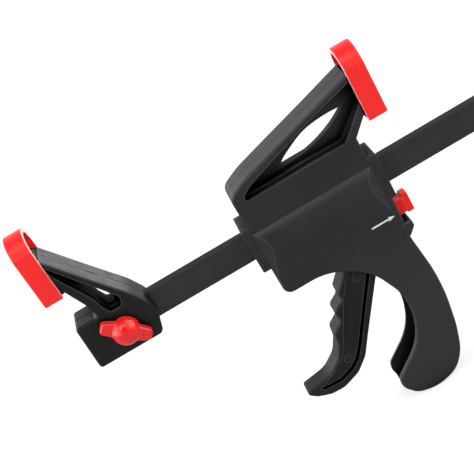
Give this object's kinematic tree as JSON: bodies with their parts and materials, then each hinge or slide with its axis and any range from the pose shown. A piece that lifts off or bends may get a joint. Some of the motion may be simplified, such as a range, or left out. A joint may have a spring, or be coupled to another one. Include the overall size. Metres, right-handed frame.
{
  "type": "quick release bar clamp",
  "caption": "Quick release bar clamp set up as a spreader: fixed jaw and sliding trigger head on a flat bar, cup pads facing outwards, release button, winged clamp screw.",
  "frame": {"origin": "middle of the fixed jaw pad's gripping face", "axes": "+X along the bar from the fixed jaw to the bar's free end, +Z from the bar towards the jaw tips, +Y through the thickness, from the wing screw's side to the side of the housing screws"},
  "size_m": [0.47, 0.0415, 0.259],
  "materials": {
    "body_plastic": "charcoal moulded glass-filled nylon, satin",
    "pad_rubber": "red moulded soft plastic, glossy",
    "knob_plastic": "red moulded plastic, glossy",
    "bar_steel": "black oxide rolled bar",
    "plated_steel": "zinc plated",
    "plate_steel": "punched and hardened",
    "spring_steel": "drawn wire"
  },
  "bodies": {
    "root": {"slide_bar": "bar_steel", "bar_stop_pin": "plated_steel", "fixed_jaw": "body_plastic", "fixed_jaw_pad": "pad_rubber", "clamp_nut": "plated_steel"},
    "screw_slide": {"wing_washer": "plated_steel"},
    "screw": {"wing_stud": "plated_steel", "wing_knob": "knob_plastic"},
    "head": {"front_housing": "body_plastic", "rear_housing": "body_plastic", "moving_jaw_pad": "pad_rubber", "housing_screws": "plated_steel", "trigger_pivot_pin": "plated_steel", "drive_spring": "spring_steel", "brake_spring": "spring_steel"},
    "trigger": {"trigger": "body_plastic"},
    "drive": {"drive_plate_front": "plate_steel", "drive_plate_rear": "plate_steel"},
    "brake": {"brake_plate": "plate_steel"},
    "button": {"release_button": "knob_plastic"}
  },
  "joints": [
    {"name": "head_slide", "type": "slide", "parent": "root", "child": "head", "axis": [1, 0, 0], "range_m": [-0.072, 0.2138]},
    {"name": "trigger_squeeze", "type": "hinge", "parent": "head", "child": "trigger", "pos_m": [0.2008, 0, -0.0976], "axis": [0, -1, 0], "range_deg": [0, 17.5], "stiffness_Nm_per_rad": 1.5, "springref_deg": -8.59},
    {"name": "drive_stroke", "type": "slide", "parent": "head", "child": "drive", "axis": [-1, 0, 0], "range_m": [0, 0.0051], "deforming": ["drive_spring"]},
    {"name": "brake_tilt", "type": "hinge", "parent": "head", "child": "brake", "pos_m": [0.2145, 0, -0.0516], "axis": [0, 1, 0], "range_deg": [0, 5], "stiffness_Nm_per_rad": 2, "springref_deg": -6.88, "deforming": ["brake_spring"]},
    {"name": "release_press", "type": "slide", "parent": "head", "child": "button", "axis": [-1, 0, 0], "range_m": [0, 0.00404]},
    {"name": "screw_travel", "type": "slide", "parent": "root", "child": "screw_slide", "axis": [0, -1, 0], "range_m": [0, 0.00375]},
    {"name": "screw_turn", "type": "hinge", "parent": "screw_slide", "child": "screw", "pos_m": [0.0348, 0, -0.0666], "axis": [0, -1, 0], "range_deg": [0, 1080]}
  ],
  "couplings": [
    {"joint": "drive_stroke", "follows": "trigger_squeeze", "m_per_rad": 0.01655},
    {"joint": "brake_tilt", "follows": "release_press", "rad_per_m": 21.59},
    {"joint": "screw_turn", "follows": "screw_travel", "rad_per_m": 5026.5}
  ]
}
